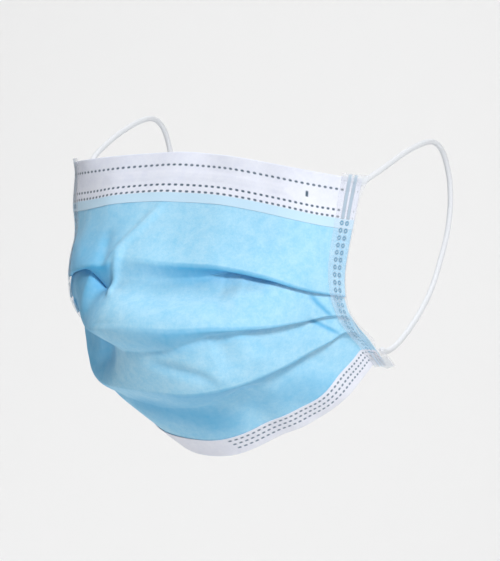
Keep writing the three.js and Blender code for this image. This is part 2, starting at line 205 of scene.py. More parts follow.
def fold_section(closing, u=None):
    """Sections of the cloth for an array of closings, as run, depth and distance along the cloth.

    The path goes down the top panel, then for each pleat turns through its angle over the crease's width,
    goes in behind the panel by the pleat's depth, turns again and comes back out to the next fold along what
    is left of the panel. The angle goes from the opened one at closing 0 to a half turn at 1. Where u is
    given, each pleat's inner crease is drawn as its table says, which leaves the folds where they are.
    """
    crease = mix(OPEN_TURN, PRESSED_TURN, closing)
    zero = np.zeros_like(closing)
    corners = [(zero, zero), (zero + TOP_PANEL, zero)]
    counts = [TOP_STEPS]

    def go(start, angle, distance):
        return start[0] + distance * np.cos(angle), start[1] + distance * np.sin(angle)

    for pleat, drawn in zip(PLEATS, DRAWN):
        fold = corners[-1]
        angle = mix(np.radians(pleat["opened"]), np.pi, closing)
        behind = go(fold, angle / 2, crease)
        standing = mix(1.0, PLEAT_STANDING, smooth((closing - PLEAT_SAG["start"]) / PLEAT_SAG["over"]))
        pressed = smooth(2 * closing - 1)
        hidden = (behind[0] + PLEAT_DEPTH * np.cos(angle),
                  behind[1] + PLEAT_DEPTH * standing * np.sin(angle) + PRESSED_SLOPE * pressed)
        turn = go(hidden, angle / 2, crease)
        panel = pleat["panel"]
        straight = np.sqrt(panel ** 2 - turn[1] ** 2)
        share = np.clip((fold[0] + crease - turn[0]) / straight, 0.2, 0.8)
        needed = (behind[1] + crease) * pressed
        under = (turn[0] + share * straight, np.maximum((1 - share) * turn[1], needed))
        used = np.hypot(under[0] - turn[0], under[1] - turn[1])
        following = (under[0] + np.sqrt((panel - used) ** 2 - under[1] ** 2), zero)
        if u is not None:
            moved = [np.interp(u, drawn["at"], drawn[name]) for name in ("run", "depth")]
            hidden, turn = ((point[0] + moved[0], point[1] + moved[1]) for point in (hidden, turn))
            under = (under[0] + 0.5 * moved[0], under[1] + 0.5 * np.minimum(moved[1], 0.0))
        corners += [behind, hidden, turn, under, following]
        counts += list(PLEAT_STEPS.values())
    run = np.stack([corner[0] for corner in corners], axis=1)
    depth = np.stack([corner[1] for corner in corners], axis=1)
    ends = np.concatenate([[0], np.cumsum(counts)])
    places = np.arange(ends[-1] + 1)
    leg = np.clip(np.searchsorted(ends, places, side="right") - 1, 0, len(counts) - 1)
    within = (places - ends[leg]) / np.array(counts)[leg]
    run = mix(run[:, leg], run[:, leg + 1], within)
    depth = mix(depth[:, leg], depth[:, leg + 1], within)
    steps = np.hypot(np.diff(run, axis=1), np.diff(depth, axis=1))
    cloth = np.concatenate([zero[:, None], np.cumsum(steps, axis=1)], axis=1)
    return run, depth, cloth


def fold_shade():
    """Painted shade along a section, by how far into a pleat each point lies: one just behind a fold, zero on
    the next panel.
    """
    levels = dict(fold=(0.6, 1.0), hidden=(1.0, 0.6), turn=(0.6, 0.5), covered=(0.5, 0.0), shown=(0.0, 0.0))
    stretches = [np.zeros(TOP_STEPS)]
    for pleat in PLEATS:
        stretches += [pleat["shade"] * np.linspace(*levels[name], steps, endpoint=False)
                      for name, steps in PLEAT_STEPS.items()]
    return np.concatenate(stretches + [np.zeros(1)])


MIDDLE_LENGTH = fold_section(np.zeros(1))[0][0, -1]
END_LENGTH = fold_section(np.ones(1))[0][0, -1]


def walk_line(start, table, length, steps=240):
    """A line from a point, each short step headed down, leaning forward and outward as its table says."""
    share = (np.arange(steps) + 0.5) / steps
    forward = np.radians(np.interp(share, table["at"], table["forward"]))
    outward = np.radians(np.interp(share, table["at"], table.get("outward", np.zeros(len(table["at"])))))
    heading = np.stack([
        np.sin(outward),
        -np.sin(forward) * np.cos(outward),
        -np.cos(forward) * np.cos(outward),
    ], axis=1)
    return np.concatenate([[start], start + np.cumsum(heading, axis=0) * length / steps])


middle_line = walk_line(np.zeros(3), MIDDLE_LINE, MIDDLE_LENGTH)
end_start = HALF * np.array([CORNER["across"], CORNER["behind"], -CORNER["below"]])
end_line = walk_line(end_start, END_LINE, END_LENGTH)


def along_line(line, share):
    """Points at shares of a line's length."""
    at = np.linspace(0.0, 1.0, len(line))
    return np.stack([np.interp(share, at, line[:, axis]) for axis in range(3)], axis=-1)


def worn_surface(u, share):
    """The smooth worn surface: at each share of the way down, one cubic from the middle line to the end line.

    Each swell moves it by a smooth bump that falls to zero at its reach.
    """
    u, share = np.broadcast_arrays(u, share)
    t = np.abs(u)[..., None]
    turn = np.radians(parabola(ROWS["turn"], share))
    leave = HALF * parabola(ROWS["middle_pull"], share)[..., None] * np.array([1.0, 0.0, 0.0])
    arrive = HALF * parabola(ROWS["end_pull"], share)[..., None] * np.stack(
        [np.cos(turn), np.sin(turn), parabola(ROWS["drop"], share)], axis=-1)
    point = (along_line(middle_line, share) * (2 * t ** 3 - 3 * t ** 2 + 1)
             + leave * (t ** 3 - 2 * t ** 2 + t)
             + along_line(end_line, share) * (3 * t ** 2 - 2 * t ** 3)
             + arrive * (t ** 3 - t ** 2))
    point[..., 0] *= np.where(u < 0, -1.0, 1.0)
    for swell in SWELLS:
        bump = (smooth(1.0 - np.abs(u - swell["across"]) / swell["across_reach"])
                * smooth(1.0 - np.abs(share - swell["down"]) / swell["down_reach"]))
        point += HALF * bump[..., None] * np.array(swell["move"])
    return point


COLUMN_STEPS = 100


def column_runs(u):
    """How far down the worn surface each step of the columns at u lies, one row for each column."""
    points = worn_surface(u[:, None], np.linspace(0.0, 1.0, COLUMN_STEPS + 1)[None, :])
    steps = np.linalg.norm(np.diff(points, axis=1), axis=2)
    return np.concatenate([np.zeros((len(u), 1)), np.cumsum(steps, axis=1)], axis=1)


PRESSED_FROM = 1.0 - TAPE / HALF


def closing_at(u):
    """How far the pleats close at u, found by halving: the section is as long as the surface there."""
    side = np.where(u < 0, -1.0, 1.0)
    lengths = column_runs(side * np.minimum(np.abs(u), PRESSED_FROM))[:, -1]
    pressed = column_runs(side * PRESSED_FROM)[:, -1]
    middle = column_runs(np.zeros(1))[0, -1]
    wanted = mix(END_LENGTH, MIDDLE_LENGTH, (lengths - pressed) / (middle - pressed))
    low, high = np.zeros_like(u), np.ones_like(u)
    for _ in range(30):
        closing = (low + high) / 2
        longer = fold_section(closing)[0][:, -1] > wanted
        low, high = np.where(longer, closing, low), np.where(longer, high, closing)
    return np.where(np.abs(u) >= PRESSED_FROM, 1.0, high)


def place(u, run, depth, past=0.0):
    """Points at u, run and depth: one row for each u. Past moves a point sideways off the end of the cloth.

    The run is turned to a share of its column by its true length, and depth and past are measured along the
    surface's own normal and the direction square to the column.
    """
    runs = column_runs(u)
    inside = np.clip(run, 0.0, runs[:, -1:])
    step = np.clip((runs[:, None, :] <= inside[:, :, None]).sum(axis=2) - 1, 0, COLUMN_STEPS - 1)
    low = np.take_along_axis(runs, step, axis=1)
    high = np.take_along_axis(runs, step + 1, axis=1)
    share = (step + (inside - low) / (high - low)) / COLUMN_STEPS
    column = np.broadcast_to(u[:, None], share.shape)
    delta = 0.01
    across = (worn_surface(np.clip(column + delta, -1, 1), share)
              - worn_surface(np.clip(column - delta, -1, 1), share))
    down = (worn_surface(column, np.clip(share + delta, 0, 1))
            - worn_surface(column, np.clip(share - delta, 0, 1)))
    across /= np.linalg.norm(across, axis=2, keepdims=True)
    down /= np.linalg.norm(down, axis=2, keepdims=True)
    inward = np.cross(across, down)
    inward /= np.linalg.norm(inward, axis=2, keepdims=True)
    sideways = np.cross(down, inward)
    past = np.broadcast_to(past, share.shape) * np.sign(column)
    return (worn_surface(column, share)
            + down * (run - inside)[..., None]
            + sideways * past[..., None]
            + inward * depth[..., None])


def path_normal(run, depth):
    """The outward unit normal of each path, from the difference of its neighbours."""
    run_step = np.gradient(run, axis=1)
    depth_step = np.gradient(depth, axis=1)
    length = np.hypot(run_step, depth_step)
    return depth_step / length, -run_step / length


def relax(values, weight, rounds):
    """Each inner point moves towards the middle of its neighbours by a weight, a number of times."""
    values = values.copy()
    for _ in range(rounds):
        values[:, 1:-1] += weight * (0.5 * (values[:, :-2] + values[:, 2:]) - values[:, 1:-1])
    return values


# Soft creases in the cloth: u and run at each end of a ridge, its half width and its height in millimetres,
# outward above zero, and how much painted shade, in the deeper colour, shows along it
CREASES = (
    dict(u=(-0.16, -0.33), down=(26, 50), width=2.4, height=1.7, shade=0.0),
    dict(u=(-0.28, -0.29), down=(47, 66), width=2.0, height=1.9, shade=0.0),
    dict(u=(-0.43, -0.36), down=(36, 54), width=3.5, height=-1.2, shade=0.3),
    dict(u=(0.76, 0.83), down=(54, 63.5), width=1.7, height=-0.6, shade=0.8),
    dict(u=(0.69, 0.81), down=(66.5, 75), width=1.7, height=-0.6, shade=0.8),
    dict(u=(-0.05, 0.16), down=(106, 112), width=3.0, height=-1.2, shade=0.2),
    dict(u=(0.17, 0.40), down=(113, 92), width=4.0, height=1.0, shade=0.0),
    # These two rows only paint shade: the lower panel darker where it faces down, away from the lamps
    dict(u=(-0.25, 0.16), down=(138, 150), width=12.0, height=0.0, shade=0.75),
    dict(u=(0.18, 0.6), down=(141, 108), width=8.0, height=0.0, shade=0.4),
)
# Slow waves all over the cloth: lengths in millimetres, and the height of each as a share of its length
WAVES = dict(seed=7, count=26, shortest=14.0, longest=46.0, steepness=0.0025)


def crease_bells(u, down):
    """One array for each crease: a bell curve across its line, fading at both ends."""
    bells = []
    for crease in CREASES:
        x0, x1 = (HALF * value for value in crease["u"])
        y0, y1 = crease["down"]
        dx, dy = x1 - x0, y1 - y0
        along = ((HALF * u - x0) * dx + (down - y0) * dy) / (dx ** 2 + dy ** 2)
        beside = ((HALF * u - x0) * dy - (down - y0) * dx) / np.hypot(dx, dy)
        ends = smooth(2.5 * (along + 0.2)) * smooth(2.5 * (1.2 - along))
        bells.append(np.exp(-(beside / crease["width"]) ** 2) * ends)
    return bells


def relief(u, down):
    """How far creases and slow seeded waves lift the cloth outward, in millimetres, all layers together."""
    u, down = np.broadcast_arrays(u, down)
    lift = sum(crease["height"] * bell for crease, bell in zip(CREASES, crease_bells(u, down)))
    random = np.random.default_rng(WAVES["seed"])
    for _ in range(WAVES["count"]):
        angle, phase = random.uniform(0, 2 * np.pi, 2)
        length = random.uniform(WAVES["shortest"], WAVES["longest"])
        along = HALF * u * np.cos(angle) + down * np.sin(angle)
        lift += WAVES["steepness"] * length * np.sin(2 * np.pi * along / length + phase)
    quiet = smooth((1.0 - np.abs(u)) * HALF / TAPE - 1.0)
    return lift * quiet


def wall_mesh(name, outer, inner, outer_uv, inner_uv, mark, marks):
    """One closed wall from two grids of points: the outer face, the inner face and a rim on all four sides.

    The outer face's marks are kept as an attribute that the material reads.
    """
    rows, columns = outer.shape[:2]
    outer_ids = np.arange(rows * columns).reshape(rows, columns)
    inner_ids = outer_ids + rows * columns

    def quads(ids):
        return np.stack([ids[:-1, :-1], ids[:-1, 1:], ids[1:, 1:], ids[1:, :-1]], axis=-1).reshape(-1, 4)

    faces = [quads(outer_ids), quads(inner_ids)[:, ::-1]]
    rims = ((outer_ids[:, 0], inner_ids[:, 0]), (inner_ids[:, -1], outer_ids[:, -1]),
            (inner_ids[0], outer_ids[0]), (outer_ids[-1], inner_ids[-1]))
    for near, far in rims:
        faces.append(np.stack([near[:-1], near[1:], far[1:], far[:-1]], axis=-1))
    points = np.concatenate([outer.reshape(-1, 3), inner.reshape(-1, 3)]) * MM
    mesh = bpy.data.meshes.new(name)
    mesh.from_pydata(points.tolist(), [], np.concatenate(faces).tolist())
    slots = np.zeros(len(mesh.polygons), dtype=np.int32)
    slots[len(faces[0]):len(faces[0]) + len(faces[1])] = 1
    mesh.polygons.foreach_set("material_index", slots)
    mesh.polygons.foreach_set("use_smooth", np.ones(len(slots), dtype=bool))
    uv = np.concatenate([outer_uv.reshape(-1, 2), inner_uv.reshape(-1, 2)])
    corner_vertices = np.empty(len(mesh.loops), dtype=np.int32)
    mesh.loops.foreach_get("vertex_index", corner_vertices)
    layer = mesh.uv_layers.new(name="cloth")
    layer.data.foreach_set("uv", uv[corner_vertices].ravel())
    attribute = mesh.attributes.new(mark, "FLOAT", "POINT")
    values = np.zeros(len(points), dtype=np.float32)
    values[:marks.size] = marks.ravel()
    attribute.data.foreach_set("value", values)
    mesh.update()
    piece = bpy.data.objects.new(name, mesh)
    bpy.context.scene.collection.objects.link(piece)
    return piece


BODY_STATIONS = 230
DRAWN_ROUNDS = 40           # rounds of smoothing where the first pleat is drawn out
FLANK_REACH = 30.0          # how far above the first fold the flank's painted shade fades


def make_body():
    """The pleated cloth: every section offset by half the wall to each side, one after another across u."""
    u = np.linspace(-1.0, 1.0, BODY_STATIONS + 1)
    closing = closing_at(u)
    run, depth, cloth = fold_section(closing, u)
    soft = (0.6 * (1.0 - closing) + 0.1)[:, None]
    run, depth = relax(run, soft, 2), relax(depth, soft, 2)
    first_pleat = np.arange(run.shape[1]) < TOP_STEPS + sum(PLEAT_STEPS.values())
    drawn_out = np.interp(u, FOLD_SOFT["at"], FOLD_SOFT["amount"])[:, None] * first_pleat
    run = mix(run, relax(run, 0.8, DRAWN_ROUNDS), drawn_out)
    depth = mix(depth, relax(depth, 0.8, DRAWN_ROUNDS), drawn_out)
    run_out, depth_out = path_normal(run, depth)
    lift = relief(u[:, None], run)
    faces = [place(u, run + run_out * offset, depth + depth_out * offset - lift)
             for offset in (WALL / 2, -WALL / 2)]
    uv = np.stack(np.broadcast_arrays((u[:, None] + 1) / 2, 1 - cloth / cloth[:, -1:]), axis=-1)
    # Painted shade for the fold attribute: behind the folds, on the left flank, which faces away from the key
    # lamp, and along the creases
    folds = np.interp(u, FOLD_SHADE["at"], FOLD_SHADE["amount"])[:, None] * fold_shade()[None, :]
    flank = np.interp(u, FLANK_SHADE["at"], FLANK_SHADE["amount"])[:, None]
    shade = np.maximum(folds, mix(flank, 0.3 * flank, smooth((TOP_PANEL - run) / FLANK_REACH)))
    for crease, bell in zip(CREASES, crease_bells(u[:, None], run)):
        shade = np.maximum(shade, crease["shade"] * bell)
    return wall_mesh("mask_cloth", faces[0], faces[1], uv, uv, "fold", shade)


DASH_RIM = 0.35             # width of the edge of a dash


def capsule(along, beside, pitch, length, width):
    """One inside each dash of a row, falling to zero over a short rim at its rounded outline."""
    x = np.abs((along + pitch / 2) % pitch - pitch / 2)
    reach = np.hypot(np.maximum(x - (length - width) / 2, 0.0), beside)
    return smooth((width / 2 - reach) / DASH_RIM + 0.5)


# Weld dashes of the strips; rows are distances from the edge of the cloth
DASH_PITCH = 3.1
DASH_LENGTH = 1.7
DASH_WIDTH = 0.95
DASH_DEPTH = 0.09
TOP_DASH_ROWS = (5.4, 14.4, 17.3)
BOTTOM_DASH_ROWS = (3.6, 6.3, 9.0)
MARK_ACROSS = 58.6
MARK_DOWN = 9.7
MARK_HEIGHT = 2.4
MARK_WIDTH = 1.5
HEM_DASH_PITCH = 2.1
HEM_DASH_LENGTH = 1.25
HEM_DASH_WIDTH = 0.9
PLAIN_HEM = (-32.0, 9.0)    # stretch of the lower strip without dashes
WIRE_FROM_EDGE = 9.9
WIRE_HALF_LENGTH = 52.0
WIRE_HALF_WIDTH = 1.7
WIRE_HEIGHT = 0.35
WIRE_SIDE = 2.0             # width of each slope beside the wire
WIRE_END = 6.0              # length of each slope off its ends


def top_welds(across, down):
    """The dash pattern of the top strip: three rows of dashes and one short upright mark."""
    rows = [capsule(across, down - row, DASH_PITCH, DASH_LENGTH, DASH_WIDTH) for row in TOP_DASH_ROWS]
    upright = smooth((MARK_HEIGHT / 2 - np.abs(down - MARK_DOWN)) / 0.3 + 0.5)
    rows.append(upright * smooth((MARK_WIDTH / 2 - np.abs(across - MARK_ACROSS)) / 0.3 + 0.5))
    return np.max(rows, axis=0)


def bottom_welds(across, down):
    """The dash pattern of the bottom strip: three rows, each half a pitch along from the one before."""
    rows = []
    for index, row in enumerate(BOTTOM_DASH_ROWS):
        moved = across + HEM_DASH_PITCH / 2 * index
        centre = HEM_DASH_PITCH * np.round(moved / HEM_DASH_PITCH)
        stitched = (centre < PLAIN_HEM[0]) | (centre > PLAIN_HEM[1])
        rows.append(stitched * capsule(moved, down - row, HEM_DASH_PITCH, HEM_DASH_LENGTH, HEM_DASH_WIDTH))
    return np.max(rows, axis=0)


STRIP_STATIONS = 560
STRIP_STEP = 0.32           # from one point to the next down a strip
FROM_TOP, FROM_BOTTOM = 8, -20      # points of a section that the strips head for from their edges


def make_strip(name, height, back, at_bottom, welds):
    """A strip folded over an edge: a path down the outer face, round the edge and down the inner face.

    Its distance from the edge follows the panel that ends there, and the dashes sink its outer face.
    """
    u = np.linspace(-1.0, 1.0, STRIP_STATIONS + 1)
    run, depth, _ = fold_section(closing_at(u))
    ends = [-1, FROM_BOTTOM] if at_bottom else [0, FROM_TOP]
    (edge_run, inner_run), (edge_depth, inner_depth) = run[:, ends].T[..., None], depth[:, ends].T[..., None]
    length = np.hypot(inner_run - edge_run, inner_depth - edge_depth)
    into = ((inner_run - edge_run) / length, (inner_depth - edge_depth) / length)
    behind = np.sign(into[0])
    rise = WALL / 2 + STRIP_LIFT + STRIP_WALL / 2
    turn = np.linspace(-np.pi / 2, np.pi / 2, 7)[1:-1]

    def folded(offset):
        radius = rise + offset
        leg = np.linspace(height, 0.0, int(height / STRIP_STEP))
        back_leg = np.linspace(0.0, back, 10)
        return (np.concatenate([leg, -radius * np.cos(turn), back_leg]),
                np.concatenate([0 * leg - radius, radius * np.sin(turn), 0 * back_leg + radius]))

    def surface(offset, sink):
        away, off = folded(offset)
        away, off = away[None, :] + 0 * u[:, None], off[None, :] + 0 * u[:, None]
        shown = np.where(off < 0, 1.0, 0.0)
        dashes = welds(HALF * u[:, None], away) * shown
        dashes = dashes * smooth((HALF * (1 - np.abs(u[:, None])) - 1.0) / 0.5)
        wire = 0.0 * off
        if not at_bottom:
            ridge = smooth((WIRE_HALF_WIDTH - np.abs(away - WIRE_FROM_EDGE)) / WIRE_SIDE + 0.5)
            wire = WIRE_HEIGHT * ridge * smooth((WIRE_HALF_LENGTH - np.abs(HALF * u[:, None])) / WIRE_END)
        off = off + dashes * sink - wire * shown
        run_at = edge_run + away * into[0] - off * behind * into[1]
        depth_at = edge_depth + away * into[1] + off * behind * into[0]
        depth_at -= relief(u[:, None], edge_run + away * into[0])
        uv = np.stack(np.broadcast_arrays((u[:, None] + 1) / 2, away / height), axis=-1)
        points = place(u, run_at, depth_at)
        return (points, uv, dashes) if at_bottom else (points[::-1], uv[::-1], dashes[::-1])

    outer, outer_uv, dashes = surface(STRIP_WALL / 2, DASH_DEPTH)
    inner, inner_uv, _ = surface(-STRIP_WALL / 2, 0.0)
    return wall_mesh(name, outer, inner, outer_uv, inner_uv, "weld", dashes)


# Welds of the tapes; columns are distances from the end of the tape
TAPE_BARS = 0.5             # how dense the bars and the two welded corners are beside a ring
TAPE_CORNERS = dict(top=0.12, bottom=0.25)
RING_PITCH = 3.3
RING_RADIUS = 1.1
RING_HOLE = 0.42
RING_COLUMNS = (4.5, 7.6)
BAR_WIDTH = 1.9
WELD_DEPTH = 0.05


def tape_welds(from_edge, run):
    """Two columns of weld rings, which run together into two bars where the tape crosses a strip."""
    values = np.zeros(np.broadcast(from_edge, run).shape)
    over_top = smooth(TOP_STRIP - 4.0 - run)
    over_bottom = smooth(run - END_LENGTH + BOTTOM_STRIP - 1.0)
    over_strip = np.maximum(over_top, over_bottom)
    for column in RING_COLUMNS:
        x = from_edge - column
        y = (run + RING_PITCH / 2) % RING_PITCH - RING_PITCH / 2
        reach = np.hypot(x, y)
        ring = smooth((RING_RADIUS - reach) / 0.3 + 0.5) * smooth((reach - RING_HOLE) / 0.25 + 0.5)
        bar = smooth((BAR_WIDTH / 2 - np.abs(x)) / 0.3 + 0.5)
        values = np.maximum(values, mix(ring, TAPE_BARS * bar, over_strip))
    top = TAPE_CORNERS["top"] * smooth((4.0 - run) / 3.0)
    bottom = TAPE_CORNERS["bottom"] * smooth((run - END_LENGTH) / 12.0 + 1.0)
    return np.maximum(values, np.maximum(top, bottom))


TAPE_STATIONS = 380
TAPE_FOLD = 0.35            # half the thickness of a tape's flared rim
TAPE_FLARES = dict(even=0.5, top=2.6, top_reach=8.0, bottom=3.0, bottom_reach=13.0)


def tape_flare(down):
    """How far a tape stands out past the end of the cloth: a little all along, more at its welded corners."""
    top = smooth((TAPE_FLARES["top_reach"] - down) / TAPE_FLARES["top_reach"])
    bottom = smooth((down - END_LENGTH + TAPE_FLARES["bottom_reach"]) / 3.0)
    return TAPE_FLARES["even"] + TAPE_FLARES["top"] * top + TAPE_FLARES["bottom"] * bottom


def make_tape(name, side):
    """A tape folded over an end: a path across its outer face, out to the flare, round and back.

    The path is carried down the end of the cloth. It steps out where the tape crosses a strip, and its outer
    face sinks at the welds.
    """
    down = np.linspace(-TAPE_OVERHANG, END_LENGTH + TAPE_OVERHANG, TAPE_STATIONS + 1)
    below_top = smooth((down - TOP_STRIP) / TAPE_EASE)
    above_bottom = smooth((END_LENGTH - BOTTOM_STRIP - down) / TAPE_EASE)
    over_strip = 1.0 - np.minimum(below_top, above_bottom)
    strip_rise = STRIP_WALL + STRIP_LIFT
    front = -(WALL / 2 + STRIP_LIFT + TAPE_WALL / 2) - strip_rise * over_strip
    stack = 2 * PRESSED_TURN + PRESSED_SLOPE + WALL / 2
    back = mix(stack, WALL / 2 + strip_rise + 0.3, over_strip) + STRIP_LIFT + TAPE_WALL / 2
    middle = (back + front) / 2
    flare = tape_flare(down)

    def surface(offset, sink):
        leg = np.linspace(-TAPE, 0.0, 40)[:, None] + 0 * down
        spread = np.linspace(0.0, 1.0, 13)[1:, None]
        turn = np.linspace(-np.pi / 2, np.pi / 2, 7)[1:-1, None]
        back_leg = np.linspace(0.0, -TAPE_BACK, 10)[:, None] + 0 * down
        outermost = flare + (TAPE_FOLD + offset) * np.cos(turn)
        past = np.concatenate([leg, spread * flare, outermost, spread[::-1] * flare, back_leg])
        narrow = smooth(spread * flare / 3.0)
        depth = np.concatenate([
            front - offset + 0 * leg,
            mix(front, middle - TAPE_FOLD, narrow) - offset,
            middle + (mix(middle - front, TAPE_FOLD, smooth(flare / 3.0)) + offset) * np.sin(turn),
            mix(back, middle + TAPE_FOLD, narrow[::-1]) + offset,
            back + offset + 0 * back_leg,
        ])
        from_edge = flare - past
        on_front = (np.arange(len(past)) < len(leg) + len(spread))[:, None]
        welds = tape_welds(TAPE_FLARES["even"] - past, down[None, :]) * on_front
        depth = depth + sink * welds
        u = side * (1.0 + np.minimum(past[:, 0], 0.0) / HALF)
        stretch = fold_section(closing_at(u))[0][:, -1:] / END_LENGTH
        points = place(u, down[None, :] * stretch, depth, np.maximum(past, 0.0))
        uv = np.stack(np.broadcast_arrays(from_edge / TAPE, down[None, :] / END_LENGTH), axis=-1)
        points, uv, welds = points.swapaxes(0, 1), uv.swapaxes(0, 1), welds.T
        return (points[::-1], uv[::-1], welds[::-1]) if side > 0 else (points, uv, welds)

    outer, outer_uv, welds = surface(TAPE_WALL / 2, WELD_DEPTH)
    inner, inner_uv, _ = surface(-TAPE_WALL / 2, 0.0)
    return wall_mesh(name, outer, inner, outer_uv, inner_uv, "weld", welds)


def smooth_curve(points, steps):
    """A curve through the points that leaves each one along the line between its neighbours."""
    points = np.asarray(points)
    padded = np.concatenate([[2 * points[0] - points[1]], points, [2 * points[-1] - points[-2]]])
    place_at = np.linspace(0.0, len(points) - 1.0, steps)
    index = np.minimum(place_at.astype(int), len(points) - 2)
    t = (place_at - index)[:, None]
    before, start, end, after = (padded[index + shift] for shift in range(4))
    return 0.5 * (2 * start + (end - before) * t + (2 * before - 5 * start + 4 * end - after) * t ** 2
                  + (3 * start - before - 3 * end + after) * t ** 3)


CORD_STATIONS = 460
CORD_SIDES = 20
STITCH_PITCH = 1.1
STITCH_SWELL = 0.025        # how much wider a cord is at a stitch, as a share of its radius
CORD_END = dict(reach=2.0, narrow=0.15)     # where a cord tapers into its weld


def make_ear_loop(name, route):
    """A knitted elastic cord: circles carried along the curve, a little wider at each row of stitches."""
    centre = smooth_curve(route, CORD_STATIONS)
    tangent = np.gradient(centre, axis=0)
    tangent /= np.linalg.norm(tangent, axis=1, keepdims=True)
    across = np.cross(tangent, np.array([1.0, 0.0, 0.0]))
    across /= np.linalg.norm(across, axis=1, keepdims=True)
    upright = np.cross(tangent, across)
    angle = 2 * np.pi * np.arange(CORD_SIDES) / CORD_SIDES
    length = np.concatenate([[0], np.cumsum(np.linalg.norm(np.diff(centre, axis=0), axis=1))])
    stitches = 2 * np.pi * length[:, None] / (STITCH_PITCH * MM) + 2 * angle[None, :]
    from_end = np.minimum(length, length[-1] - length)[:, None]
    taper = mix(CORD_END["narrow"], 1.0, smooth(from_end / (CORD_END["reach"] * MM)))
    radius = CORD * MM / 2 * (1.0 + STITCH_SWELL * np.sin(stitches)) * taper
    ring = (np.cos(angle)[None, :, None] * across[:, None, :]
            + np.sin(angle)[None, :, None] * upright[:, None, :])
    points = centre[:, None, :] + ring * radius[..., None]
    ids = np.arange(CORD_STATIONS * CORD_SIDES).reshape(CORD_STATIONS, CORD_SIDES)
    following = np.roll(ids, -1, axis=1)
    quads = np.stack([ids[:-1], following[:-1], following[1:], ids[1:]], axis=-1).reshape(-1, 4)
    caps = [ids[0][::-1].tolist(), ids[-1].tolist()]
    mesh = bpy.data.meshes.new(name)
    mesh.from_pydata(points.reshape(-1, 3).tolist(), [], quads.tolist() + caps)
    mesh.polygons.foreach_set("use_smooth", np.ones(len(mesh.polygons), dtype=bool))
    mesh.update()
    piece = bpy.data.objects.new(name, mesh)
    bpy.context.scene.collection.objects.link(piece)
    return piece, centre, length[-1]


def colour(red, green, blue):
    """A screen colour, 0 to 255, as the linear colour that a shader takes."""
    value = np.array([red, green, blue]) / 255.0
    linear = np.where(value <= 0.04045, value / 12.92, ((value + 0.055) / 1.055) ** 2.4)
    return (*linear, 1.0)


def new_material(name, roughness, sheen):
    """A material, its node tree and its shader, with the given roughness and sheen."""
    material = bpy.data.materials.new(name)
    material.use_nodes = True
    shader = material.node_tree.nodes["Principled BSDF"]
    shader.inputs["Roughness"].default_value = roughness
    shader.inputs["Sheen Weight"].default_value = sheen
    shader.inputs["Specular IOR Level"].default_value = 0.25
    return material, material.node_tree, shader


def node(tree, kind, **settings):
    """A new node; each setting is the value of an input or a property of the node."""
    made = tree.nodes.new(kind)
    for key, value in settings.items():
        if key in made.inputs:
            made.inputs[key].default_value = value
        else:
            setattr(made, key, value)
    return made


def mix_colours(tree, factor, low, high):
    """A colour mix node; each input is a socket or a plain colour."""
    made = tree.nodes.new("ShaderNodeMix")
    made.data_type = "RGBA"
    for socket, value in ((made.inputs[0], factor), (made.inputs[6], low), (made.inputs[7], high)):
        if isinstance(value, bpy.types.NodeSocket):
            tree.links.new(value, socket)
        else:
            socket.default_value = value
    return made.outputs[2]


def add_nonwoven(tree, shader, base, light, fuzz=1.0):
    """Nonwoven cloth on object coordinates: cloudy colour, and a bump of short fibres and bonded points."""
    coordinates = tree.nodes.new("ShaderNodeTexCoord").outputs["Object"]
    cloud = node(tree, "ShaderNodeTexNoise", Scale=190.0, Detail=8.0, Roughness=0.82)
    fibre = node(tree, "ShaderNodeTexNoise", Scale=1500.0, Detail=3.0, Roughness=0.7, Distortion=1.2)
    bonds = node(tree, "ShaderNodeTexVoronoi", Scale=1050.0)
    for texture in (cloud, fibre, bonds):
        tree.links.new(coordinates, texture.inputs["Vector"])
    patchy = node(tree, "ShaderNodeMapRange")
    patchy.inputs["From Min"].default_value = 0.32
    patchy.inputs["From Max"].default_value = 0.68
    tree.links.new(cloud.outputs[0], patchy.inputs["Value"])
    mottled = mix_colours(tree, patchy.outputs[0], base, light)
    height = node(tree, "ShaderNodeMath", operation="MULTIPLY_ADD")
    tree.links.new(bonds.outputs["Distance"], height.inputs[0])
    height.inputs[1].default_value = 0.5
    tree.links.new(fibre.outputs[0], height.inputs[2])
    bump = node(tree, "ShaderNodeBump", Strength=0.35 * fuzz, Distance=0.0002)
    tree.links.new(height.outputs[0], bump.inputs["Height"])
    tree.links.new(bump.outputs[0], shader.inputs["Normal"])
    return mottled


def attribute_factor(tree, name):
    """The value of a mesh attribute."""
    return node(tree, "ShaderNodeAttribute", attribute_name=name).outputs["Fac"]


def cloth_material(name, base, light, painted_shade_colour):
    """Nonwoven cloth with painted shade as the fold attribute says: behind folds, where light comes only
    through the cloth.
    """
    material, tree, shader = new_material(name, 0.78, 0.12)
    mottled = add_nonwoven(tree, shader, base, light)
    # Painted shade: the fold attribute, times 0.75, mixes in the shade colour
    amount = node(tree, "ShaderNodeMath", operation="MULTIPLY")
    amount.inputs[1].default_value = 0.75
    tree.links.new(attribute_factor(tree, "fold"), amount.inputs[0])
    tree.links.new(mix_colours(tree, amount.outputs[0], mottled, painted_shade_colour), shader.inputs["Base Color"])
    return material


def strip_material(name, base, light, dash, tint=None):
    """White nonwoven with weld dashes. With a tint, the strip is thin past its last row of dashes."""
    material, tree, shader = new_material(name, 0.72, 0.2)
    finish = add_nonwoven(tree, shader, base, light, fuzz=0.6)
    if tint is not None:
        uv = node(tree, "ShaderNodeUVMap", uv_map="cloth")
        split = node(tree, "ShaderNodeSeparateXYZ")
        tree.links.new(uv.outputs[0], split.inputs[0])
        thin = node(tree, "ShaderNodeMapRange")
        thin.inputs["From Min"].default_value = (TOP_DASH_ROWS[2] + 0.3) / TOP_STRIP
        thin.inputs["From Max"].default_value = (TOP_DASH_ROWS[2] + 0.9) / TOP_STRIP
        tree.links.new(split.outputs[1], thin.inputs["Value"])
        finish = mix_colours(tree, thin.outputs[0], finish, tint)
    finish = mix_colours(tree, attribute_factor(tree, "weld"), finish, dash)
    tree.links.new(finish, shader.inputs["Base Color"])
    return material


